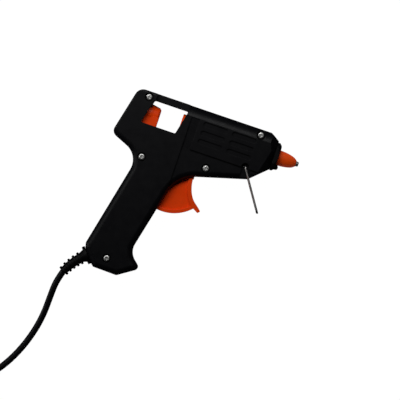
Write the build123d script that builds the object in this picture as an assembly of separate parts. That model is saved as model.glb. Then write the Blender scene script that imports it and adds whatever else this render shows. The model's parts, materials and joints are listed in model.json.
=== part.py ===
from build123d import *
import os
from math import cos, pi, radians, sin, tan

# A small hot-melt glue gun for 7 mm sticks, lying on its left side.
#
# Working frame, in millimetres: the origin is on the barrel's axis where the orange nozzle boot
# leaves the front collar. +X runs along the barrel to the nozzle, +Y towards the gun's top and
# +Z out of its right side, so z = 0 is the plane where the two housing halves meet. save() moves
# each piece so that the row's origin is the bottom centre of the gun's box: the gun's left side
# lies on z = 0.

# ---------------- driving dimensions ----------------
HALF = 14.0  # half the gun's thickness, to its raised side faces
FLANK = 12.4  # half the thickness at the recessed flank; the folding stand lies over it
STRIP_Z = 13.2  # and at the top of the strip, whose floor slopes down to the flank
WALL = 2.0  # moulded wall
STEP_Z = 7.0  # inside this height the wall follows the outline closely
TOP_Y = 18.2  # the housing's top
TOP_ROUND = 11.1  # rounding along the top, in front of the window
TOP_LEAN = 12.0  # it leaves the side at this angle, degrees
EDGE_ROUND = 2.0  # rounding along the rest of the top
GRIP_ROUND = 5.0  # rounding along the grip and the underside
REAR_ROUND = 1.2  # the rear edge is nearly sharp
FLANK_TOP = -17.6  # lower edge of the raised front panel
VENT_DEPTH = 1.1
STRIP = (-80.0, -72.7, 9.0)  # recessed strip: rear edge, front edge, top
ORIGIN = (-63.4, -67.05)  # bottom centre of the gun's box, in the working frame

INLET_R = 4.0  # stick hole in the rear wall, for a 7 mm stick

PIVOT = (-78.7, -40.8)  # trigger pivot
SQUEEZE = 30.0  # trigger travel, degrees
LEVER = 26.0  # trigger pivot to the drive pin that pushes the carriage
PIN_R = 1.5  # trigger pin
RIM_R = 34.2  # the trigger's lower rim turns about the pivot on this radius
TRIGGER_W = 6.6  # half width of the trigger's front and rim
WEB_W = 4.6  # half width of its web
RUN_FIT = 0.06  # radial clearance of a shaft in its bore

SPRING_R = 3.0  # mean radius of the trigger's torsion spring
SPRING_WIRE = 0.36  # its wire's radius
SPRING_Z = (2.2, 5.04)  # heights of its first and last turn
SPRING_LEG = (-70.0, 6.5)  # its leg in the trigger: direction, degrees, and length

STAND_PIVOT = (-23.6, -16.6)
STAND_FOOT = (-1.3, -50.3)
STAND_R = 0.72  # wire radius
STAND_Z = 13.25  # legs' distance from the middle plane

SCREWS = [(-119.5, 13.2, 10.6), (-19.5, 12.9, 8.2), (-109.3, -36.8, 11.4),
          (-54.7, -28.7, 9.6), (-109.8, -127.7, 11.4)]  # x, y and the height of each head's seat
SCREW_R = 1.4
SCREW_HEAD = (3.0, 2.1)  # radius, height
COUNTERBORE_R = 3.8
SCREW_LENGTH = 17.0
BOSS_R = 3.5

CORD_R = 2.75
FLOOR = -HALF  # the surface that the gun lies on
BOOT_START = (-125.6, -129.8)  # strain relief, where it meets the housing's cut corner
BOOT_HEADING = (-141.0, -114.0)  # degrees, at its start and its end
BOOT_LENGTH = 26.4
COIL_CENTRE = (-219.0, -239.0)
COIL_TURNS = (22.5, 39.0)  # radius of the coil's innermost and outermost turn
COIL_LAYERS = 2
LAYER_TURNS = 3
TIE = 0.8  # thickness of the tie under and round the coil

# The gun's side outline: corner x, corner y, rounding radius.
OUTLINE = [
    (-3.4, 13.2, 0.0), (-11.4, TOP_Y, 0.0), (-130.1, TOP_Y, 8.0), (-140.2, -25.1, 6.0),
    (-112.4, -36.8, 16.0), (-130.9, -120.6, 0.0), (-129.9, -124.8, 0.0), (-120.2, -136.9, 0.0),
    (-118.4, -138.3, 0.0), (-97.5, -138.8, 3.0), (-80.6, -127.5, 3.0), (-92.9, -116.6, 13.0),
    (-75.9, -42.4, 28.0), (-18.1, -25.8, 0.0), (-3.4, -11.8, 0.0),
]
REAR_CORNERS = (2, 3)

# The cord's route, from the strain relief's end down to the floor and round to the coil.
ROUTE = [
    (-141.5, -150.6, 0.0), (-144.5, -160.0, -1.2), (-145.2, -174.0, -4.4), (-145.7, -190.0, -8.6),
    (-148.6, -207.0, -11.25), (-155.0, -226.5, -11.25), (-165.8, -246.5, -11.25),
    (-182.5, -264.5, -11.25), (-203.5, -275.5, -11.0), (-219.5, -277.9, -10.5),
]
TAIL = [(-257.8, -235.0, -5.2), (-256.7, -219.0, -6.6), (-253.1, -204.5, -7.4), (-247.7, -190.5, -7.15)]
PLUG_LENGTH = 36.0


# ---------------- small shared shapes ----------------
def block(x, y, z):
    """A box from three (low, high) pairs."""
    size = [hi - lo for lo, hi in (x, y, z)]
    middle = [(hi + lo) / 2 for lo, hi in (x, y, z)]
    return Pos(*middle) * Box(*size)


def rod(radius, start, end):
    """A cylinder between two points."""
    start, end = Vector(*start), Vector(*end)
    plane = Plane(origin=start, z_dir=end - start)
    return extrude(plane * Circle(radius), (end - start).length)


def rod_x(radius, x, y=0.0, z=0.0):
    return rod(radius, (x[0], y, z), (x[1], y, z))


def rod_z(radius, at, z):
    return rod(radius, (at[0], at[1], z[0]), (at[0], at[1], z[1]))


def turned(profile):
    """A solid of revolution about the barrel's axis from (x, radius) points."""
    return revolve(make_face(Polyline(*[(x, r) for x, r in profile], close=True)), Axis.X)


def prism(points, z):
    """A polygon in the side view, between two heights."""
    face = make_face(Polyline(*points, close=True))
    return Pos(0, 0, z[0]) * extrude(face, z[1] - z[0])


def mirrored(shape):
    """The left side's copy of a piece of the right side."""
    return mirror(shape, Plane.XY)


def on_circle(radius, angle, centre=PIVOT):
    return (centre[0] + radius * cos(radians(angle)), centre[1] + radius * sin(radians(angle)))


def tube(points, radius):
    """A round tube along straight runs joined by tangent arcs, the arcs' radii and its length."""
    corners = [Vector(*p) for p in points]
    radii = []
    for before, here, after in zip(corners, corners[1:], corners[2:]):
        turn = (here - before).get_angle(after - here)
        shorter = min((here - before).length, (after - here).length)
        radii.append(0.45 * shorter / tan(radians(turn) / 2))
    path = FilletPolyline(*points, radius=radii)
    plane = Plane(origin=corners[0], z_dir=corners[1] - corners[0])
    return sweep(plane * Circle(radius), path=path), radii, path.length


# ---------------- housing ----------------
def side_face(rear_rounded=True):
    """The side outline as a face; the two rear corners can stay sharp."""
    face = make_face(Polyline(*[(x, y) for x, y, _ in OUTLINE], close=True))
    for number, (x, y, radius) in enumerate(OUTLINE):
        if radius and (rear_rounded or number not in REAR_CORNERS):
            face = fillet(face.vertices().sort_by_distance((x, y, 0))[0], radius)
    return face


def rear_corner_cutters():
    """What rounds the two rear corners, seen from the side."""
    cutters = []
    for number in REAR_CORNERS:
        x, y, radius = OUTLINE[number]
        corner = Vector(x, y)
        before = (Vector(*OUTLINE[number - 1][:2]) - corner).normalized()
        after = (Vector(*OUTLINE[number + 1][:2]) - corner).normalized()
        half_angle = radians(before.get_angle(after)) / 2
        centre = corner + (before + after).normalized() * (radius / sin(half_angle))
        touch = radius / tan(half_angle)
        first, second = corner + before * touch, corner + after * touch
        beyond = [first + (first - centre) * 0.4, corner + (corner - centre) * 0.4,
                  second + (second - centre) * 0.4]
        wedge = [first, *beyond, second, centre]
        cutters.append(prism([(p.X, p.Y) for p in wedge], (-1, HALF + 1))
                       - rod_z(radius, (centre.X, centre.Y), (-2, HALF + 2)))
    return cutters


def top_band():
    """What the long rounding along the top takes off, from the window's bar to the nose."""
    y = TOP_Y - TOP_ROUND
    z = HALF - TOP_ROUND * cos(radians(TOP_LEAN))
    start = y + TOP_ROUND * sin(radians(TOP_LEAN))
    return block((-84.2, 0), (start, TOP_Y + 1), (z, HALF + 1)) - rod_x(TOP_ROUND, (-90, 1), y, z)


def rounded_slab(height, top, rest, rear):
    """One half of the outer body, to a height, with its outer edges rounded."""
    slab = extrude(side_face(rear_rounded=False), height)

    def rim():
        edges = slab.edges().filter_by_position(Axis.Z, height - 0.01, height + 0.01)
        return [(edge, edge.center()) for edge in edges]

    slab = fillet([e for e, c in rim() if c.Y > 13 and c.X > -129], top)
    slab = fillet([e for e, c in rim() if c.Y < -20 and c.X > -139.5], rest)
    slab = fillet([e for e, c in rim() if c.X < -131 and c.Y > -20], rear)
    return slab


def flank_zone():
    """Where the flank under the front panel is recessed."""
    return block((STRIP[0], 10), (-60, FLANK_TOP), (-1, HALF + 1))


def strip_cut():
    """The shallow strip that rises from the flank behind the front panel."""
    rear, front, top = STRIP
    side = Polyline((rear, top, STRIP_Z), (rear, top, HALF + 1), (rear, FLANK_TOP, HALF + 1),
                    (rear, FLANK_TOP, FLANK), close=True)
    return extrude(make_face(side), front - rear, dir=(1, 0, 0))


def nose_facets():
    """The two slanting facets on the side of the nose."""
    facets = []
    point = Vector(-6.9, 3.1, HALF)
    slope = Vector(3.5, 0, -3.4)
    for corner in ((-12.6, 17.2), (-12.9, -21.4)):
        normal = (Vector(*corner, HALF) - point).cross(slope)
        normal = normal if normal.Z > 0 else normal * -1
        facets.append(Plane(origin=point, z_dir=normal) * Pos(0, 0, 20) * Box(90, 90, 40))
    return facets


def cavity():
    """The hollow of one half, in two steps that follow the rounded outside."""
    near, far = WALL, WALL + 4.6
    face = side_face()
    shallow = Pos(0, 0, -1) * extrude(offset(face, -near), STEP_Z + 1)
    deep = extrude(offset(face, -far), HALF - WALL)
    over = Pos(0, 0, FLANK - WALL) * extrude(offset(make_face(Polyline(
        (STRIP[0], STRIP[2]), (STRIP[1], STRIP[2]), (STRIP[1], FLANK_TOP), (10, FLANK_TOP), (10, -60),
        (STRIP[0], -60), close=True)), WALL), HALF)
    return shallow + (deep - over)


def window_cut():
    face = make_face(Polyline((-114.4, 12.3), (-84.0, 12.3), (-88.9, -9.0), (-119.6, -9.0), close=True))
    return Pos(0, 0, -1) * extrude(fillet(face.vertices(), 1.3), HALF + 2)


def vents():
    """Six shallow slots with rounded ends in the front panel."""
    cuts = []
    for x in (-57.9, -32.2):
        for y in (6.4, -1.2, -8.6):
            cuts.append(Pos(x, y, HALF - VENT_DEPTH) * extrude(SlotOverall(21.6, 4.2), 3))
    return cuts


def stand_pocket():
    """The hollow that the stand's bent ends turn in."""
    x, y = STAND_PIVOT
    floor = 10.9
    wedge = prism([(x - 2.4, y + 0.6), (x + 2.4, y + 0.9), (-15.4, -24.2), (-16.5, -30), (x - 2.4, -30)],
                  (floor, HALF + 1))
    return wedge + rod_z(3.3, STAND_PIVOT, (floor, HALF + 1))


def trigger_slot(half_width):
    """The opening that the trigger swings through."""
    sector = [PIVOT] + [on_circle(RIM_R + 0.9, angle) for angle in range(-138, -34, 4)]
    return prism(sector, (-1, half_width)) + rod_z(17.6, PIVOT, (-1, half_width))


def ribs():
    """Saddles for the hot end, the carriage's shelf, and screw and pivot bosses of one half."""
    top = TOP_Y - 0.5
    deep = (0, HALF - 1)
    parts = [
        block((-83.6, -81.8), (-9.4, top), deep) - rod_x(8.9, (-90, -70)),
        block((-66.0, -64.2), (-9.4, top), deep) - rod_x(8.9, (-70, -60)),
        block((-48.6, -46.8), (-4.0, top), deep) - rod_x(8.1, (-60, -40)),
        block((-15.4, -13.6), (-24.0, top), deep) - rod_x(8.1, (-20, -10)),
        block((-104.0, -67.0), (-21.0, -19.1), (3.1, HALF - 1)),
        turned([(-136.5, INLET_R), (-136.5, 6.6), (-127.0, 6.6), (-127.0, INLET_R)])
        & block((-140, -120), (-10, 10), (0, 10)),
        block((-135.0, -129.0), (-1.0, 1.0), (6.0, HALF - 1)),
        rod_z(3.6, PIVOT, (5.05, HALF - 1)),
        rod_z(4.8, STAND_PIVOT, (8.8, HALF - 0.5)),
    ]
    return parts


def right_housing(outer, hollow):
    body = outer - hollow
    for rib in ribs():
        body += rib & outer
    body += block((-115.5, -83.0), (12.3, TOP_Y), (0, 9.4)) & outer
    for x, y, seat in SCREWS:
        body += rod_z(BOSS_R, (x, y), (0, seat)) & outer
        body += rod_z(COUNTERBORE_R + 1.3, (x, y), (seat - WALL, HALF - 0.5)) & outer
        body -= rod_z(SCREW_R + 0.2, (x, y), (-1, HALF))
        body -= rod_z(COUNTERBORE_R, (x, y), (seat, HALF + 1))
    body += rod_z(1.4, (-92.5, -37.6), (1.0, HALF - 1)) & outer  # post for the spring's fixed leg
    return shared_cuts(body)


def left_housing(outer, hollow):
    """Built as a right half, without counterbores, then mirrored."""
    body = outer - hollow
    for rib in ribs():
        body += rib & outer
    body += block((-115.5, -83.0), (12.3, TOP_Y), (0, 9.4)) & outer
    for x, y, seat in SCREWS:
        body += rod_z(BOSS_R, (x, y), (0, HALF - 1)) & outer
        body -= rod_z(SCREW_R + 0.05, (x, y), (-1, SCREW_LENGTH - seat + 1.0))
    middle, across = clamp_place()
    saddle = Plane(origin=(middle.X, middle.Y, 0), x_dir=across, z_dir=(0, 0, 1))
    body += (saddle * Pos(0, 0, 7.9) * Box(17.0, 4.8, 10.2)) & outer
    for side in (-1, 1):
        at = middle + across * (side * 6.2)
        body -= rod_z(1.1, (at.X, at.Y), (0, 9.5))
    return mirrored(shared_cuts(body))


def shared_cuts(body):
    """Window, stick hole, trigger slot, stand pivots and the front and cord openings."""
    body -= window_cut()
    body -= block((-113.4, -84.2), (12.0, TOP_Y + 1), (9.4, HALF + 1))
    body -= rod_x(INLET_R, (-150, -125))
    body -= trigger_slot(7.2)
    body -= rod_z(PIN_R + 0.02, PIVOT, (-1, 9.6))
    body -= rod_z(STAND_R + RUN_FIT, STAND_PIVOT, (5.0, HALF + 1))
    body -= rod_x(8.9, (-11.0, 0)) + rod_x(9.8, (-9.0, -5.45))
    body -= rod(5.6, (*boot_at(-8.0)[0:2], 0), (*boot_at(0.6)[0:2], 0))
    face = side_face()
    return body - extrude(face - offset(face, -0.25), 0.12)  # fine line where the halves meet


def outer_body():
    """One half's outside."""
    high = rounded_slab(HALF, EDGE_ROUND, GRIP_ROUND, REAR_ROUND)
    low = rounded_slab(FLANK, EDGE_ROUND, GRIP_ROUND, REAR_ROUND)
    zone = flank_zone()
    body = (high - zone) + (low & zone)
    for cutter in [strip_cut(), top_band()] + rear_corner_cutters() + nose_facets() + vents():
        body -= cutter
    return body - stand_pocket()


def housing_screws():
    """Five cross-head screws that go in from the right side."""
    screws = []
    radius, height = SCREW_HEAD
    for x, y, seat in SCREWS:
        head = fillet(rod_z(radius, (x, y), (seat, seat + height)).edges().group_by(Axis.Z)[-1], 1.5)
        head -= block((x - 1.7, x + 1.7), (y - 0.45, y + 0.45), (seat + height - 1.2, seat + height + 1))
        head -= block((x - 0.45, x + 0.45), (y - 1.7, y + 1.7), (seat + height - 1.2, seat + height + 1))
        screws.append(head + rod_z(SCREW_R, (x, y), (seat - SCREW_LENGTH, seat)))
    return screws


# ---------------- hot end ----------------
def front_collar():
    """The ring round the nozzle: a flange outside, a spigot and a lip that the housing holds."""
    ring = turned([(-7.4, 7.2), (-7.4, 9.6), (-5.6, 9.6), (-5.6, 8.8), (-3.3, 8.8), (-3.3, 12.3),
                   (-1.6, 12.3), (0.2, 10.6), (0.7, 9.4), (0.1, 7.2)])
    ring &= block((-8, 1), (-13, 13), (-10.4, 10.4))
    lip = turned([(-1.0, 7.4), (-1.0, 10.9), (2.2, 10.5), (3.0, 9.4), (1.9, 7.4)])
    lip &= block((-2, 4), (-12, -4), (-4.5, 4.5))
    return ring + (lip - rod_x(7.3, (-2, 4)))


def nozzle_boot():
    """Orange silicone bullet over the nozzle."""
    outside = Spline((0.4, 6.6), (6.0, 6.25), (11.0, 5.35), (14.6, 3.95), (16.4, 2.36))
    edges = outside + Polyline((16.4, 2.36), (-6.0, 5.25), (-6.0, 6.7), (0.4, 6.6))
    return revolve(make_face(edges), Axis.X)


def nozzle():
    hexagon = extrude(Plane(origin=(-9.2, 0, 0), z_dir=(1, 0, 0)) * RegularPolygon(6.3, 6), 3.0)
    body = turned([(-18.0, 3.6), (-18.0, 4.5), (-9.2, 4.5), (-9.2, 5.2), (-6.2, 5.2), (18.2, 2.0),
                   (18.7, 1.5), (18.7, 0.9), (9.5, 0.9), (3.5, 3.6)])
    return body + (hexagon - rod_x(4.0, (-10, 0)))


def melt_chamber():
    """Aluminium block that the stick melts in, with a flat pad for the heater."""
    body = rod_x(8.0, (-62.0, -9.3)) + rod_x(5.6, (-72.0, -61.0))
    body += block((-58.0, -22.0), (-10.0, -4.0), (-5.4, 5.4))
    for x in (-54.0, -28.0, -24.6):
        body += turned([(x, 6.0), (x, 9.0), (x + 1.4, 9.0), (x + 1.4, 6.0)]) & block(
            (x, x + 2), (-5.0, 10), (-10, 10))
    return body - rod_x(3.75, (-73, -17)) - rod_x(4.55, (-18.2, -9))


def heater_parts():
    """Ceramic heater between two electrode plates, in an insulating film sleeve."""
    film = block((-57.0, -23.0), (-15.1, -10.05), (-5.2, 5.2))
    film -= block((-58.0, -22.0), (-14.8, -10.35), (-4.9, 4.9))
    ceramic = [block((x, x + 14.0), (-14.1, -11.05), (-4.4, 4.4)) for x in (-54.0, -39.5)]
    plates = []
    for y, z in ((-11.0, 3.0), (-14.7, -3.0)):
        plate = block((-56.0, -25.0), (y, y + 0.6), (-4.4, 4.4))
        plates.append(plate + block((-62.0, -55.5), (y, y + 0.6), (z - 1.3, z + 1.3)))
    return film, ceramic, plates


def heater_clip():
    """Spring-steel band that presses the heater against the chamber."""
    outer = rod_x(8.95, (-44.0, -32.0)) + block((-44.0, -32.0), (-16.0, 0), (-8.0, 8.0))
    inner = rod_x(8.15, (-45.0, -31.0)) + block((-45.0, -31.0), (-15.2, 0), (-7.2, 7.2))
    return outer - inner


def inlet_sleeve():
    """Orange silicone sleeve that guides the stick into the chamber."""
    return turned([(-87.3, 5.2), (-87.3, 8.9), (-86.8, 9.4), (-84.6, 9.4), (-84.6, 8.8), (-62.1, 8.8),
                   (-62.1, 5.65), (-72.1, 5.65), (-72.1, 3.6), (-85.4, 3.6)])


def sleeve_clamp():
    """Wire-like band with two ears that holds the sleeve on the chamber's spigot."""
    ring = turned([(-76.0, 8.85), (-76.0, 9.6), (-71.0, 9.6), (-71.0, 8.85)])
    ears = block((-76.0, -71.0), (8.9, 13.4), (-1.6, -0.8)) + block((-76.0, -71.0), (8.9, 13.4), (0.8, 1.6))
    return ring - block((-77, -70), (5, 12), (-0.8, 0.8)) + ears


# ---------------- feed ----------------
def drive_pin():
    """Where the trigger's drive pin is at rest."""
    return on_circle(LEVER, 90 + SQUEEZE / 2)


def feed_carriage():
    """Collar that grips the stick, with a foot that reaches forward to the trigger's drive pin."""
    slot_x = drive_pin()[0]
    ring = turned([(-124.0, 3.9), (-124.0, 8.6), (-113.5, 8.6), (-107.6, 7.4), (-106.3, 5.9),
                   (-106.3, 5.0), (-107.6, 3.9)])
    neck = block((-124.0, -106.3), (-16.6, -1.0), (-8.2, 8.2)) - rod_x(5.5, (-130, -100))
    foot = block((-112.0, slot_x + 4.8), (-16.6, -9.9), (-4.6, 4.6))
    foot += block((slot_x - 4.8, slot_x + 4.8), (-18.6, -9.9), (-5.0, 5.0))
    foot -= block((slot_x - 2.9, slot_x + 2.9), (-19, -11.9), (-6, 6))
    return ring + neck + foot


def trigger():
    """Finger trigger: front flange, web, round lower rim, hub, dust shield and drive lever."""
    low, high = -107.0, -43.5  # the rim's ends, degrees
    start, end = on_circle(RIM_R, high), on_circle(RIM_R, low)
    front = Spline((-62.3, -36.2), (-61.8, -44.0), (-58.9, -53.0), (-55.2, -58.2), (-51.7, -61.1),
                   (-47.7, -64.7))
    tip = Polyline((-47.7, -64.7), (-47.9, -65.3), (-49.2, -66.6), (-49.8, -66.6))
    under = Polyline((-49.8, -66.6), start)
    rim_out = CenterArc((*PIVOT, 0), RIM_R, high, low - high)
    rear = Polyline(end, (-84.6, -47.0), (-84.0, -38.0), (-79.0, -34.6), (-66.0, -33.0), (-62.3, -36.2))
    web = extrude(make_face(front + tip + under + rim_out + rear), WEB_W, both=True)
    back = Spline((-65.6, -36.2), (-65.2, -45.0), (-62.6, -53.6), (-58.6, -60.2), start)
    flange = extrude(make_face(front + tip + under + back + Polyline((-65.6, -36.2), (-62.3, -36.2))),
                     TRIGGER_W, both=True)
    rim_in = CenterArc((*PIVOT, 0), RIM_R - 2.8, high, low - high)
    rim = make_face(rim_out + rim_in + Polyline(start, on_circle(RIM_R - 2.8, high))
                    + Polyline(end, on_circle(RIM_R - 2.8, low)))
    rim = extrude(rim, TRIGGER_W, both=True)
    shield = rod_z(17.2, PIVOT, (-6.3, 6.3)) - rod_z(14.8, PIVOT, (-7, 7))
    shield &= prism([PIVOT, on_circle(30, 0), on_circle(30, 20), on_circle(30, 43)], (-7, 7))
    brace = prism([on_circle(3, 80), on_circle(16, 42), on_circle(16, 0), on_circle(3, -60)], (-2.4, 2.4))
    pin = drive_pin()
    arm = Plane(origin=(*PIVOT, 0), x_dir=(pin[0] - PIVOT[0], pin[1] - PIVOT[1], 0), z_dir=(0, 0, 1))
    lever = arm * Pos(LEVER / 2, 0, 0) * Box(LEVER, 4.0, 4.8)
    body = web + flange + rim + shield + brace + lever
    body += rod_z(2.6, pin, (-4.7, 4.7)) + rod_z(4.6, PIVOT, (-4.8, 1.5))
    body -= rod_z(4.4, PIVOT, (1.5, 8))
    direction, length = SPRING_LEG
    along = (cos(radians(direction)), sin(radians(direction)), 0)
    groove = Plane(origin=(*PIVOT, 3.2), x_dir=along, z_dir=(0, 0, 1))
    body -= groove * Pos((length + 0.8) / 2, SPRING_R, 0) * Box(length + 0.8, 2.0, 3.4)
    return body - rod_z(PIN_R + RUN_FIT, PIVOT, (-9, 9))


def return_spring():
    """Torsion spring round the trigger pin, one leg in the trigger and one on the housing's post."""
    low, high = SPRING_Z
    direction, length = SPRING_LEG
    start = Vector(*on_circle(SPRING_R, direction + 90), low)
    along = Vector(cos(radians(direction)), sin(radians(direction)), 0)
    spring = rod(SPRING_WIRE, start, start + along * length)
    for turn in range(5):
        spring += Pos(*PIVOT, low + (high - low) * turn / 4) * Torus(SPRING_R, SPRING_WIRE)
    return spring + rod(SPRING_WIRE, (*on_circle(SPRING_R, 80), high), (-92.0, -35.5, high))


def wire_stand():
    """One bent wire: two legs, a foot across and two ends turned into the housing."""
    px, py = STAND_PIVOT
    fx, fy = STAND_FOOT
    z, inner = STAND_Z, 8.6
    points = [(px, py, inner), (px, py, z), (fx, fy, z), (fx, fy, -z), (px, py, -z), (px, py, -inner)]
    path = FilletPolyline(*points, radius=[1.5, 3.0, 3.0, 1.5])
    plane = Plane(origin=points[0], z_dir=(0, 0, 1))
    return sweep(plane * Circle(STAND_R), path=path)


# ---------------- cord and wiring ----------------
def boot_at(distance):
    """Point and heading on the strain relief's curved middle line."""
    first, last = BOOT_HEADING
    bend = radians(last - first) / BOOT_LENGTH
    heading = radians(first) + bend * max(distance, 0.0)
    if distance <= 0:
        x = BOOT_START[0] + distance * cos(heading)
        y = BOOT_START[1] + distance * sin(heading)
    else:
        x = BOOT_START[0] + (sin(heading) - sin(radians(first))) / bend
        y = BOOT_START[1] - (cos(heading) - cos(radians(first))) / bend
    return x, y, heading


def boot_plane(distance):
    x, y, heading = boot_at(distance)
    return Plane(origin=(x, y, 0), z_dir=(cos(heading), sin(heading), 0))


def clamp_place():
    """Middle of the cord clamp and its direction across the cord."""
    x, y, heading = boot_at(-7.6)
    return Vector(x, y, 0), Vector(-sin(heading), cos(heading), 0)


def strain_relief():
    """Tapered rubber boot with a flange each side of the housing's wall and five ribs."""
    stations = [(0.0, 5.5), (3.2, 5.6), (6.6, 4.3), (13.0, 4.0), (19.0, 3.75), (24.0, 3.5),
                (BOOT_LENGTH, 3.4)]
    body = loft([boot_plane(s) * Circle(r) for s, r in stations], ruled=True)
    body += extrude(boot_plane(-4.6) * Circle(5.5), 4.8)
    body += extrude(boot_plane(-4.6) * Circle(7.2), 2.0)
    body += extrude(boot_plane(0.8) * Circle(7.9), 2.4)
    for number in range(5):
        radius = 5.5 - 0.22 * number
        rib = extrude(boot_plane(7.2 + 4.27 * number) * Circle(radius), 2.0)
        body += fillet(rib.edges(), 0.5)
    return body - cord_entry(CORD_R + 0.05)


def cord_entry(radius=CORD_R):
    """The cord inside the strain relief and the clamp, up to where its sheath is stripped."""
    straight = extrude(boot_plane(-14.0) * Circle(radius), 14.0)
    arc = CenterArc(boot_centre(), boot_radius(), BOOT_HEADING[0] - 90, BOOT_HEADING[1] - BOOT_HEADING[0])
    return straight + sweep(boot_plane(0) * Circle(radius), path=arc)


def boot_radius():
    return BOOT_LENGTH / radians(BOOT_HEADING[1] - BOOT_HEADING[0])


def boot_centre():
    x, y, heading = boot_at(0)
    return (x - sin(heading) * boot_radius(), y + cos(heading) * boot_radius(), 0)


def cord_clamp():
    middle, across = clamp_place()
    plane = Plane(origin=(middle.X, middle.Y, CORD_R), x_dir=across, z_dir=(0, 0, 1))
    bar = plane * Pos(0, 0, 1.2) * Box(17.0, 4.6, 2.4)
    for side in (-1, 1):
        at = middle + across * (side * 6.2)
        bar -= rod_z(1.25, (at.X, at.Y), (0, 9))
    return bar


def clamp_screws():
    middle, across = clamp_place()
    screws = []
    for side in (-1, 1):
        at = middle + across * (side * 6.2)
        head = rod_z(2.1, (at.X, at.Y), (CORD_R + 2.4, CORD_R + 3.9))
        head -= block((at.X - 1.2, at.X + 1.2), (at.Y - 0.3, at.Y + 0.3), (CORD_R + 3.1, CORD_R + 5))
        screws.append(head + rod_z(1.0, (at.X, at.Y), (-8.5, CORD_R + 2.4)))
    return screws


def leads():
    """Two insulated wires from the stripped cord up the grip to the heater's tabs."""
    x, y, heading = boot_at(-14.0)
    wires = []
    for side, tab_y in ((1, -11.0), (-1, -14.7)):
        points = [
            (x, y, 1.2 * side), (x + 3.4, y + 4.6, 2.4 * side), (-112.6, -104.0, 4.6 * side),
            (-110.6, -84.0, 6.0 * side), (-107.4, -64.0, 7.6 * side), (-103.0, -45.0, 8.3 * side),
            (-96.0, -29.5, 8.3 * side), (-80.0, -25.6, 8.2 * side), (-66.5, -24.8, 7.4 * side),
            (-61.2, -21.5, 3.8 * side), (-60.8, tab_y - 3.4, 3.0 * side),
        ]
        wires.append(tube(points, 0.95)[0])
    return wires


def lead_crimps():
    """Crimped sleeves that join the leads to the electrode tabs."""
    crimps = []
    for side, tab_y in ((1, -11.0), (-1, -14.7)):
        crimps.append(rod(1.5, (-60.8, tab_y - 3.4, 3.0 * side), (-60.8, tab_y - 0.05, 3.0 * side)))
    return crimps


def coil_height():
    return (FLOOR + TIE, FLOOR + TIE + COIL_LAYERS * 2 * CORD_R)


def cord_coil():
    low, high = coil_height()
    outer, inner = COIL_TURNS[-1] + CORD_R, COIL_TURNS[0] - CORD_R
    return rod_z(outer, COIL_CENTRE, (low, high)) - rod_z(inner, COIL_CENTRE, (low - 1, high + 1))


def cord_tie():
    """A flat tie once round the coil's turns."""
    low, high = coil_height()
    outer, inner = COIL_TURNS[-1] + CORD_R, COIL_TURNS[0] - CORD_R
    middle_x = COIL_CENTRE[0] + (outer + inner) / 2
    width = outer - inner
    band = Pos(middle_x, COIL_CENTRE[1], (low + high) / 2) * (
        Box(width + 2 * TIE + 1.4, 9.0, high - low + 2 * TIE) - Box(width + 1.4, 12.0, high - low + 0.02))
    return band


def plug_frame():
    """Plane at the plug's cord end, with z along the plug."""
    end, before = Vector(*TAIL[-1]), Vector(*TAIL[-2])
    along = Vector(end.X - before.X, end.Y - before.Y, 0).normalized()
    return Plane(origin=(end.X, end.Y, end.Z), x_dir=Vector(along.Y, -along.X, 0), z_dir=along)


def plug_body():
    """Flat two-pin plug: a narrow neck that widens to the pin face."""
    frame = plug_frame()
    thick = 2 * (TAIL[-1][2] - FLOOR)
    sections = [(0.0, 9.0, 8.0), (9.0, 13.0, 10.0), (17.0, 22.0, thick), (PLUG_LENGTH, 26.0, thick)]
    body = None
    for (s0, w0, t0), (s1, w1, t1) in zip(sections, sections[1:]):
        first = frame * Pos(0, 0, s0) * RectangleRounded(w0, t0, min(w0, t0) * 0.4)
        last = frame * Pos(0, 0, s1) * RectangleRounded(w1, t1, min(w1, t1) * 0.4)
        piece = loft([first, last])
        body = piece if body is None else body + piece
    for side in (-1, 1):
        body -= frame * Pos(side * 9.0, 0, PLUG_LENGTH - 8) * extrude(Circle(2.0), 9)
    return body


def plug_pins():
    frame = plug_frame()
    pins = []
    for side in (-1, 1):
        pin = frame * Pos(side * 9.0, 0, PLUG_LENGTH - 8) * extrude(Circle(2.0), 27.0)
        pins.append(pin)
    return pins


# ---------------- writing ----------------
def save(name, *shapes):
    """Writes one sub-part, moved into the row's frame."""
    place = Pos(-ORIGIN[0], -ORIGIN[1], HALF)
    solids = [solid for shape in shapes for solid in (place * shape).solids()]
    piece = solids[0] if len(solids) == 1 else Compound(children=solids)
    export_step(piece, f"parts/{name}.step")
    return piece


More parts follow.
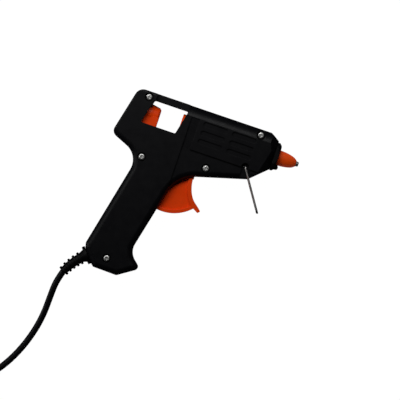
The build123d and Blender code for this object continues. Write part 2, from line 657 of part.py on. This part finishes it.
def main():
    os.makedirs("parts", exist_ok=True)
    outer, hollow = outer_body(), cavity()
    film, ceramic, plates = heater_parts()
    live, neutral = leads()
    run, run_radii, run_length = tube(ROUTE, CORD_R)
    tail, tail_radii, tail_length = tube(TAIL, CORD_R)
    gun = [
        save("right_housing", right_housing(outer, hollow)),
        save("left_housing", left_housing(outer, hollow)),
        save("housing_screws", *housing_screws()),
        save("front_collar", front_collar()),
        save("nozzle_boot", nozzle_boot()),
        save("nozzle", nozzle()),
        save("melt_chamber", melt_chamber()),
        save("heater_insulation", film),
        save("ptc_heater", *ceramic),
        save("electrode_plates", *plates),
        save("heater_clip", heater_clip()),
        save("inlet_sleeve", inlet_sleeve()),
        save("sleeve_clamp", sleeve_clamp()),
        save("feed_carriage", feed_carriage()),
        save("trigger", trigger()),
        save("trigger_pin", rod_z(PIN_R, PIVOT, (-9.4, 9.4))),
        save("return_spring", return_spring()),
        save("wire_stand", wire_stand()),
        save("strain_relief", strain_relief()),
        save("cord_entry", cord_entry()),
        save("cord_clamp", cord_clamp()),
        save("clamp_screws", *clamp_screws()),
        save("live_lead", live),
        save("neutral_lead", neutral),
        save("lead_crimps", *lead_crimps()),
    ]
    save("cord_run", run)
    save("cord_coil", cord_coil())
    save("cord_tie", cord_tie())
    save("cord_tail", tail)
    save("plug_body", plug_body())
    save("plug_pins", *plug_pins())

    box = Compound(children=[solid for piece in gun for solid in piece.solids()]).bounding_box()
    print("gun box", box.min, box.max)
    turns = pi * sum(COIL_TURNS) * LAYER_TURNS * COIL_LAYERS
    print("cord run", round(run_length, 1), "volume ratio",
          round(run.volume / (pi * CORD_R**2 * run_length), 4), "radii", [round(r, 1) for r in run_radii])
    print("cord tail", round(tail_length, 1), "radii", [round(r, 1) for r in tail_radii])
    print("cord in all", round(BOOT_LENGTH + run_length + turns + tail_length, 1))


main()
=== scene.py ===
import json
from math import cos, pi, radians, sin

import bmesh
import bpy
from mathutils import Matrix, Vector


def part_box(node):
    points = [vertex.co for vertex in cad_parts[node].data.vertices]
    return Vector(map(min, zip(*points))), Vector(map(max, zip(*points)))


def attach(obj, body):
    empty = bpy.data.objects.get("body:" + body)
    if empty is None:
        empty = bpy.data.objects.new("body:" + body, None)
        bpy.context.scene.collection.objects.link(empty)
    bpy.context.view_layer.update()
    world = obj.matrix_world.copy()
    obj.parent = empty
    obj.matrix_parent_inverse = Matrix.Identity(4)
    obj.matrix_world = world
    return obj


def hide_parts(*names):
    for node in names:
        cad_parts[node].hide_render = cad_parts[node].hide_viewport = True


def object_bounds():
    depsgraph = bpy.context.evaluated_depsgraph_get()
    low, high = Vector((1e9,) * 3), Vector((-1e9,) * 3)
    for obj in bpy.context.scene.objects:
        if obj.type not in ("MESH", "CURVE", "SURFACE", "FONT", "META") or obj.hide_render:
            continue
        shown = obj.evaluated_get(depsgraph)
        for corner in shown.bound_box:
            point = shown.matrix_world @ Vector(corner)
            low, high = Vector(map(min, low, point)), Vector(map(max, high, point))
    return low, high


# A small hot-melt glue gun lying on its left side. Lengths are in millimetres until at() or MM
# turns them into the frame's metres.
MM = 0.001

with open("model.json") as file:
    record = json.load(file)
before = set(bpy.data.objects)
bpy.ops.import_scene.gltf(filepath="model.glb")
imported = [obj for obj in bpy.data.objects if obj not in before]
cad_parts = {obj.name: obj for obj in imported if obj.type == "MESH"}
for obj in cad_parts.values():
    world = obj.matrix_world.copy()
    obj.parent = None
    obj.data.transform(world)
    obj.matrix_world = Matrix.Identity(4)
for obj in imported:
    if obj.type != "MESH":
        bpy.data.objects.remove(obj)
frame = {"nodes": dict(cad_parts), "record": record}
cad_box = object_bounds()

# The barrel's axis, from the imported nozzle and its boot: the CAD script's working frame has its
# origin there, where the boot leaves the front collar.
BOOT_INSIDE = 6.0  # the boot's length inside the collar
axis_low, axis_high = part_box("nozzle")
BARREL = Vector((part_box("nozzle_boot")[0].x + BOOT_INSIDE * MM, (axis_low.y + axis_high.y) / 2,
                 (axis_low.z + axis_high.z) / 2))


def at(x, y, z=0.0):
    """A point of the working frame, in millimetres, as a point of the row frame."""
    return BARREL + Vector((x, y, z)) * MM


# ---------------- driving dimensions ----------------
TILT = 18.8  # the gun's barrel slopes down to the right in the view, degrees
VIEW_CENTRE = (-50.8, -55.5)  # middle of the view
VIEW_WIDTH = 340.4  # what the view spans at the barrel's height
CAMERA_HEIGHT = 2400.0
FLOOR_SIZE = 6.0  # half the table's width, metres
FLOOR_GAP = 0.02  # the table lies this much under the gun

CORD_R = 2.75
FLOOR = -14.0  # the table's height in the working frame
TIE = 0.8  # thickness of the strap round the coil
COIL_CENTRE = (-219.0, -239.0)
COIL_TURNS = (22.5, 39.0)  # radius of the coil's innermost and outermost turn
LAYER_TURNS = 3
COIL_START = -90.8  # where the cord joins the coil's outermost turn, degrees
COIL_RISE = 108.0  # the turn rises to the upper layer over this angle
TURN_POINTS = 24
# the cord's control points from the strain relief to the coil, and from the coil to the plug
ROUTE = [
    (-141.5, -150.6, 0.0), (-144.5, -160.0, -1.2), (-145.2, -174.0, -4.4), (-145.7, -190.0, -8.6),
    (-148.6, -207.0, -11.25), (-155.0, -226.5, -11.25), (-165.8, -246.5, -11.25),
    (-182.5, -264.5, -11.25), (-203.5, -275.5, -11.0), (-219.5, -277.9, -10.5),
]
TAIL = [
    (-257.8, -235.0, -5.2), (-256.7, -219.0, -6.6), (-253.1, -204.5, -7.4), (-247.7, -190.5, -7.15),
]
PLUG_LENGTH = 36.0
PIN_PITCH = 18.0
PIN_R = 2.0
PIN_OUT = 19.0  # pins stand out of the plug's face
PIN_ROOT = 6.0  # the pins start this deep in the plug
SLEEVE_OUT = 9.8  # the pins' sleeves stand out of the plug's face
SLEEVE_WALL = 0.05
ROUND_POINTS = 32  # points round a pin
STRAP_WIDTH = 9.0
STRAP_LAP = 0.34  # the strap's end laps over this share of its loop


# ---------------- materials ----------------
EVEN = (1, 1, 1)  # a noise's stretch along x, y and z
GLOSS_SCALE = 3.1  # the gloss varies this many times more finely than the tint


def node(tree, kind, **values):
    """A shader node; values are its inputs' values or, where no input has the name, settings."""
    made = tree.nodes.new(kind)
    for name, value in values.items():
        if name in made.inputs:
            made.inputs[name].default_value = value
        else:
            setattr(made, name, value)
    return made


def noise(tree, scale, detail=4.0, roughness=0.55, stretch=(1, 1, 1)):
    """Noise in the row frame; scale is in cells a metre."""
    place = node(tree, "ShaderNodeTexCoord")
    mapping = node(tree, "ShaderNodeMapping", Scale=stretch)
    tree.links.new(place.outputs["Object"], mapping.inputs["Vector"])
    made = node(tree, "ShaderNodeTexNoise", Scale=scale, Detail=detail, Roughness=roughness)
    tree.links.new(mapping.outputs["Vector"], made.inputs["Vector"])
    return made.outputs["Fac"]


def ramp(tree, source, stops):
    """A colour ramp over a 0 to 1 source; stops are (place, colour or grey)."""
    made = node(tree, "ShaderNodeValToRGB")
    ends = made.color_ramp.elements
    while len(ends) < len(stops):
        ends.new(0.5)
    for element, (place, colour) in zip(ends, stops):
        element.position = place
        grey = isinstance(colour, (int, float))
        element.color = (colour, colour, colour, 1) if grey else (*colour, 1)
    tree.links.new(source, made.inputs["Fac"])
    return made.outputs["Color"]


def bumped(tree, layers, rounding=0.0):
    """A normal from (height source, depth in mm) layers, over edges that look rounded.

    rounding is the edges' radius in mm; without layers and rounding there is no normal.
    """
    normal = None
    if rounding:
        edge = node(tree, "ShaderNodeBevel", samples=6, Radius=rounding * MM)
        normal = edge.outputs["Normal"]
    for source, depth in layers:
        bump = node(tree, "ShaderNodeBump", Strength=1.0, Distance=depth * MM)
        tree.links.new(source, bump.inputs["Height"])
        if normal is not None:
            tree.links.new(normal, bump.inputs["Normal"])
        normal = bump.outputs["Normal"]
    return normal


def material(name, colours, rough, bumps=(), rounding=0.0, tint_scale=60.0, **sockets):
    """A plastic, rubber or metal with uneven colour and gloss and a fine relief.

    colours are two or three tints mixed by broad noise, rough is (low, high) and each of bumps is
    (cells a metre, depth in mm, stretch).
    """
    made = bpy.data.materials.new(name)
    made.use_nodes = True
    tree = made.node_tree
    shader = tree.nodes["Principled BSDF"]
    places = [0.30 + 0.40 * i / (len(colours) - 1) for i in range(len(colours))]
    tint = ramp(tree, noise(tree, tint_scale), list(zip(places, colours)))
    tree.links.new(tint, shader.inputs["Base Color"])
    smears = noise(tree, tint_scale * GLOSS_SCALE, detail=6.0)
    gloss = ramp(tree, smears, [(0.3, rough[0]), (0.7, rough[1])])
    tree.links.new(gloss, shader.inputs["Roughness"])
    layers = [(noise(tree, scale, detail=3.0, stretch=stretch), depth)
              for scale, depth, stretch in bumps]
    normal = bumped(tree, layers, rounding)
    if normal is not None:
        tree.links.new(normal, shader.inputs["Normal"])
    for socket, value in sockets.items():
        shader.inputs[socket].default_value = value
    return made


def shine(level):
    """The socket for how strongly a plastic mirrors its surroundings; 0.5 is common plastic."""
    return {"Specular IOR Level": level}


def recipe(*looks, **sockets):
    """What material() is given for one slot, apart from its name."""
    return looks, sockets


def make_materials():
    """One material a slot: two tints, roughness, fine relief and the edges' rounding in mm."""
    fine_grain = [(5200, 0.012, EVEN), (1300, 0.02, EVEN)]
    metal = {"Metallic": 1.0}
    recipes = {
        "black_plastic": recipe(
            [(0.0015, 0.0015, 0.0022), (0.0020, 0.0020, 0.0028)],
            (0.40, 0.48), fine_grain, 0.2, tint_scale=45.0, **shine(0.13)),
        "collar_plastic": recipe(
            [(0.0022, 0.0022, 0.0026), (0.0032, 0.0033, 0.0038)],
            (0.38, 0.46), fine_grain, 0.3, tint_scale=45.0, **shine(0.13)),
        "orange_silicone": recipe(
            [(0.70, 0.054, 0.0004), (0.82, 0.070, 0.0008)],
            (0.50, 0.62), [(2600, 0.012, EVEN)], 0.25, **shine(0.15)),
        "orange_plastic": recipe(
            [(0.74, 0.046, 0.0006), (0.84, 0.056, 0.0010)],
            (0.36, 0.46), [(3000, 0.01, EVEN)], 0.4, **shine(0.12)),
        "nozzle_metal": recipe(
            [(0.72, 0.70, 0.67), (0.84, 0.82, 0.80)],
            (0.28, 0.42), [(900, 0.01, (8, 1, 1))], 0.15, **metal),
        "cast_aluminium": recipe(
            [(0.48, 0.48, 0.49), (0.60, 0.60, 0.61)],
            (0.42, 0.62), [(1500, 0.05, EVEN)], 0.3, **metal),
        "insulating_film": recipe(
            [(0.42, 0.17, 0.015), (0.50, 0.22, 0.025)],
            (0.18, 0.3), [(500, 0.05, EVEN)], 0.1),
        "heater_ceramic": recipe(
            [(0.20, 0.19, 0.18), (0.27, 0.26, 0.25)],
            (0.65, 0.8), [(2500, 0.02, EVEN)], 0.1),
        "electrode_metal": recipe(
            [(0.58, 0.55, 0.50), (0.70, 0.67, 0.62)],
            (0.22, 0.38), [(1200, 0.01, (1, 8, 1))], 0.1, **metal),
        "spring_steel": recipe(
            [(0.40, 0.40, 0.41), (0.52, 0.52, 0.53)],
            (0.2, 0.34), [(1600, 0.008, (6, 1, 1))], 0.1, **metal),
        "zinc_steel": recipe(
            [(0.34, 0.34, 0.33), (0.72, 0.72, 0.70)],
            (0.30, 0.50), [(1400, 0.14, EVEN)], 0.18, tint_scale=400.0, **metal),
        "stand_wire": recipe(
            [(0.34, 0.33, 0.32), (0.50, 0.49, 0.47)],
            (0.36, 0.50), [(1800, 0.01, EVEN)], tint_scale=300.0, **metal),
        "black_rubber": recipe(
            [(0.0013, 0.0013, 0.0015), (0.0021, 0.0021, 0.0024)],
            (0.46, 0.58), [(3000, 0.015, EVEN)], 0.15, **shine(0.1)),
        "cord_sheath": recipe(
            [(0.0018, 0.0018, 0.0026), (0.0028, 0.0028, 0.0040)],
            (0.34, 0.46), [(420, 0.03, EVEN), (2600, 0.008, EVEN)], **shine(0.16)),
        "clamp_plastic": recipe(
            [(0.03, 0.03, 0.03), (0.045, 0.045, 0.045)],
            (0.4, 0.55), [(3000, 0.01, EVEN)], 0.2),
        "live_insulation": recipe(
            [(0.16, 0.055, 0.02), (0.20, 0.075, 0.03)],
            (0.35, 0.5), [(1500, 0.01, EVEN)]),
        "neutral_insulation": recipe(
            [(0.02, 0.09, 0.36), (0.03, 0.12, 0.44)],
            (0.35, 0.5), [(1500, 0.01, EVEN)]),
        "tie_plastic": recipe(
            [(0.005, 0.005, 0.0055), (0.009, 0.009, 0.0095)],
            (0.7, 0.9), [(1500, 0.12, EVEN), (4000, 0.05, EVEN)]),
        "plug_plastic": recipe(
            [(0.0026, 0.0026, 0.0032), (0.0038, 0.0038, 0.0045)],
            (0.34, 0.46), [(2600, 0.012, EVEN)], 0.4, **shine(0.25)),
        "pin_metal": recipe(
            [(0.66, 0.63, 0.56), (0.76, 0.74, 0.68)],
            (0.14, 0.26), [(1500, 0.008, EVEN)], 0.1, **metal),
    }
    return {name: material(name, *looks, **sockets) for name, (looks, sockets) in recipes.items()}


materials = make_materials()


def finish_piece(piece, slot, replaced=()):
    """Gives a new piece its material, its body and the CAD nodes that it stands for."""
    piece.data.materials.clear()
    piece.data.materials.append(materials[slot])
    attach(piece, "root")
    if replaced:
        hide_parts(*replaced)
    return piece


# ---------------- mesh helpers ----------------
def mesh_piece(name, points, faces, smooth=40.0):
    """A mesh from points in metres, with smooth shading under an angle."""
    data = bpy.data.meshes.new(name)
    data.from_pydata([tuple(p) for p in points], [], faces)
    data.validate()
    data.update()
    piece = bpy.data.objects.new(name, data)
    bpy.context.scene.collection.objects.link(piece)
    work = bmesh.new()
    work.from_mesh(data)
    bmesh.ops.remove_doubles(work, verts=work.verts, dist=0.001 * MM)
    bmesh.ops.recalc_face_normals(work, faces=work.faces)
    work.to_mesh(data)
    work.free()
    for face in data.polygons:
        face.use_smooth = True
    data.set_sharp_from_angle(angle=radians(smooth))
    return piece


def loft(name, rings, smooth=40.0):
    """A closed solid through rings of equally many points, with flat ends."""
    count = len(rings[0])
    points = [p for ring in rings for p in ring]
    faces = [tuple(range(count))[::-1], tuple(range((len(rings) - 1) * count, len(rings) * count))]
    for level in range(len(rings) - 1):
        for i in range(count):
            j = (i + 1) % count
            low, high = level * count, (level + 1) * count
            faces.append((low + i, low + j, high + j, high + i))
    return mesh_piece(name, points, faces, smooth)


def rounded_ring(width, height, corner, steps=6):
    """Points of a rounded rectangle about the origin, in millimetres."""
    corner = min(corner, width / 2 - 0.01, height / 2 - 0.01)
    points = []
    for quarter, (sx, sy) in enumerate(((1, 1), (-1, 1), (-1, -1), (1, -1))):
        cx, cy = sx * (width / 2 - corner), sy * (height / 2 - corner)
        for i in range(steps + 1):
            angle = pi / 2 * (quarter + i / steps)
            points.append((cx + corner * cos(angle), cy + corner * sin(angle)))
    return points


# ---------------- cord ----------------
def coil_points():
    """Control points of the put-away turns: a lower layer wound inwards, an upper one outwards."""
    inner, outer = COIL_TURNS
    reach = 0.5 + 0.5 * cos(pi / TURN_POINTS)  # the spline runs this share of its points' radius
    pitch = (outer - inner) / LAYER_TURNS
    low = FLOOR + TIE + CORD_R + 0.1
    high = low + 2 * CORD_R
    sweep = 360.0 * 2 * LAYER_TURNS + (COIL_START + 180.0) % 360.0
    steps = round(sweep / 360.0 * TURN_POINTS)
    wound = 360.0 * LAYER_TURNS
    points = []
    for step in range(2, steps):
        turned = sweep * step / steps
        if turned < wound:
            radius, height = outer - pitch * turned / 360.0, low
        elif turned < wound + COIL_RISE:
            share = (turned - wound) / COIL_RISE
            radius = inner - 0.5 * sin(pi * share)
            height = low + (high - low) * share * share * (3 - 2 * share)
        else:
            left = (turned - wound - COIL_RISE) / (sweep - wound - COIL_RISE)
            radius, height = inner + (outer - inner) * left, high
        angle = radians(COIL_START - turned)
        points.append((COIL_CENTRE[0] + radius / reach * cos(angle),
                       COIL_CENTRE[1] + radius / reach * sin(angle), height))
    return points


def make_cord():
    """The whole free cord as one curve, from the strain relief through the coil to the plug."""
    points = [*ROUTE, *coil_points(), *TAIL]
    data = bpy.data.curves.new("power_cord", "CURVE")
    data.dimensions = "3D"
    spline = data.splines.new("NURBS")
    spline.points.add(len(points) - 1)
    for control, point in zip(spline.points, points):
        control.co = (*at(*point), 1.0)
    spline.order_u = 3
    spline.use_endpoint_u = True
    spline.resolution_u = 5
    data.bevel_depth = CORD_R * MM
    data.bevel_resolution = 6
    data.use_fill_caps = True
    cord = bpy.data.objects.new("power_cord", data)
    bpy.context.scene.collection.objects.link(cord)
    return finish_piece(cord, "cord_sheath", replaced=["cord_run", "cord_coil", "cord_tail"])


def plug_matrix():
    """Local z runs along the plug from its cord end; local y is up."""
    end, before = Vector(TAIL[-1]), Vector(TAIL[-2])
    along = Vector((end.x - before.x, end.y - before.y, 0)).normalized()
    across = Vector((along.y, -along.x, 0))
    turn = Matrix((across, Vector((0, 0, 1)), along)).transposed().to_4x4()
    return Matrix.Translation(at(*end)) @ turn


def round_piece(name, place, offset, outline):
    """A round solid along the plug; outline holds (distance, radius) and offset is sideways."""
    turns = [2 * pi * i / ROUND_POINTS for i in range(ROUND_POINTS)]
    rings = []
    for z, radius in outline:
        ring = [Vector((offset + radius * cos(turn), radius * sin(turn), z)) for turn in turns]
        rings.append([place @ (point * MM) for point in ring])
    return loft(name, rings)


def make_plug():
    """Flat two-pin plug that widens from its neck; its pins have black sleeves at the root."""
    place = plug_matrix()
    thick = 2 * (TAIL[-1][2] - FLOOR)
    stations = [  # distance from the cord's end, width, height
        (0.0, 8.2, 7.8), (1.0, 9.2, 8.4), (9.0, 12.6, 9.8), (13.0, 16.6, 11.6),
        (17.0, 21.4, thick - 0.5), (21.0, 24.0, thick - 0.1), (28.0, 25.6, thick),
        (34.6, 26.0, thick), (35.6, 25.2, thick - 0.8), (PLUG_LENGTH, 23.4, thick - 2.6),
    ]
    rings = []
    for z, width, height in stations:
        ring = rounded_ring(width, height, 0.42 * min(width, height))
        rings.append([place @ (Vector((x, y, z)) * MM) for x, y in ring])
    body = loft("plug_shell", rings, 50)
    finish_piece(body, "plug_plastic", replaced=["plug_body"])
    # the pins' and sleeves' outlines: distance from the cord's end, radius
    tip = PLUG_LENGTH + PIN_OUT
    pin = [(PLUG_LENGTH - PIN_ROOT, PIN_R), (tip - 1.2, PIN_R), (tip - 0.35, PIN_R * 0.78),
           (tip, PIN_R * 0.35)]
    end = PLUG_LENGTH + SLEEVE_OUT
    sleeve = [(PLUG_LENGTH - 1.0, PIN_R + SLEEVE_WALL), (end - 0.4, PIN_R + SLEEVE_WALL),
              (end, PIN_R - SLEEVE_WALL)]
    parts = [body]
    for side, where in ((-1, "left"), (1, "right")):
        x = side * PIN_PITCH / 2
        replaced = ["plug_pins"] if side < 0 else []
        made = round_piece(f"plug_pin_{where}", place, x, pin)
        parts.append(finish_piece(made, "pin_metal", replaced=replaced))
        made = round_piece(f"pin_sleeve_{where}", place, x, sleeve)
        parts.append(finish_piece(made, "plug_plastic"))
    return parts


def make_tie():
    """A soft strap round the coil's turns, its end lapped over itself and flat on the table."""
    inner, outer = COIL_TURNS
    low = FLOOR + 0.05
    width = outer - inner + 2 * CORD_R
    height = 4 * CORD_R + 0.2
    middle = (inner + outer) / 2
    centre = Vector((COIL_CENTRE[0] + middle, COIL_CENTRE[1], FLOOR + TIE + height / 2))
    loop = rounded_ring(width + TIE + 0.2, height + TIE + 0.1, 3.4, steps=8)
    count = len(loop)
    total = round(count * (1 + STRAP_LAP))
    points = []
    for step in range(total):
        x, z = loop[(step + count // 5) % count]
        lift = TIE * 1.05 * max(0.0, min(1.0, (step - count + 4) / 4.0))
        out = Vector((x, 0, z)).normalized() * lift if step >= count - 4 else Vector((0, 0, 0))
        points.append(Vector((x, 0, z)) + out)
    rings = []
    for i, point in enumerate(points):
        along = (points[min(i + 1, total - 1)] - points[max(i - 1, 0)]).normalized()
        normal = Vector((0, 1, 0)).cross(along).normalized()
        ring = rounded_ring(STRAP_WIDTH, TIE, 0.3, steps=3)
        rings.append([(centre + point + Vector((0, y, 0)) + normal * h) for y, h in ring])
    floor_rings = [[at(p.x, p.y, max(p.z, low)) for p in ring] for ring in rings]
    tie = loft("coil_tie", floor_rings, 50)
    return finish_piece(tie, "tie_plastic", replaced=["cord_tie"])


cord = make_cord()
plug_parts = make_plug()
tie = make_tie()

# ---------------- CAD nodes that stay ----------------
slots = {entry["node"]: entry["material_slot"] for entry in frame["record"]["subparts"]}
for name, piece in frame["nodes"].items():
    piece.data.materials.clear()
    piece.data.materials.append(materials[slots[name]])


# ---------------- stage, lights and camera ----------------
def make_floor():
    """A white light table under the gun."""
    z = cad_box[0].z - FLOOR_GAP * MM
    corners = [(x * FLOOR_SIZE, y * FLOOR_SIZE, z) for x, y in ((-1, -1), (1, -1), (1, 1), (-1, 1))]
    data = bpy.data.meshes.new("floor")
    data.from_pydata(corners, [], [(0, 1, 2, 3)])
    floor = bpy.data.objects.new("floor", data)
    bpy.context.scene.collection.objects.link(floor)
    glow = {"Emission Color": (1, 1, 1, 1), "Emission Strength": 1.0}
    data.materials.append(material("floor_paper", [(0.030, 0.030, 0.030), (0.035, 0.035, 0.035)],
                                   (0.8, 0.9), tint_scale=3.0, **shine(0.0), **glow))
    floor.visible_glossy = False  # the table is dark where the gun mirrors it


def add_light(name, place, size, power, target=(0.0, 0.0, 0.0)):
    """A soft white area light; place and target are in the view's own right, up and height, in
    metres from the middle of the view, and size is its width and height."""
    right = Vector((cos(radians(TILT)), sin(radians(TILT)), 0))
    up = Vector((-sin(radians(TILT)), cos(radians(TILT)), 0))
    middle = at(*VIEW_CENTRE)

    def point(values):
        return middle + right * values[0] + up * values[1] + Vector((0, 0, values[2]))

    data = bpy.data.lights.new(name, "AREA")
    data.shape = "RECTANGLE"
    data.size, data.size_y = size
    data.energy = power
    light = bpy.data.objects.new(name, data)
    bpy.context.scene.collection.objects.link(light)
    light.location = point(place)
    aim = point(target) - light.location
    light.rotation_euler = aim.to_track_quat("-Z", "Y").to_euler()


def make_lights():
    """A narrow soft light above the barrel, one low at the left, and a faint even fill."""
    add_light("key", (-0.1, 0.40, 0.50), (0.8, 0.25), 3.3, target=(0.0, 0.04, 0.0))
    add_light("side_left", (-1.1, 0.1, 0.26), (0.4, 1.0), 2.5)
    world = bpy.data.worlds.new("studio")
    world.use_nodes = True
    background = world.node_tree.nodes["Background"]
    background.inputs["Color"].default_value = (1, 1, 1, 1)
    background.inputs["Strength"].default_value = 0.008
    bpy.context.scene.world = world


def make_camera():
    """A camera straight above the table, turned so that the barrel slopes down to the right."""
    data = bpy.data.cameras.new("camera")
    data.sensor_width = 36.0
    data.lens = data.sensor_width * CAMERA_HEIGHT / VIEW_WIDTH
    data.clip_start, data.clip_end = 0.05, 20.0
    camera = bpy.data.objects.new("camera", data)
    bpy.context.scene.collection.objects.link(camera)
    camera.location = at(*VIEW_CENTRE, CAMERA_HEIGHT)
    camera.rotation_euler = (0, 0, radians(TILT))
    bpy.context.scene.camera = camera


make_floor()
make_lights()
make_camera()
bpy.context.scene.view_settings.view_transform = "Standard"
bpy.context.scene.view_settings.look = "None"
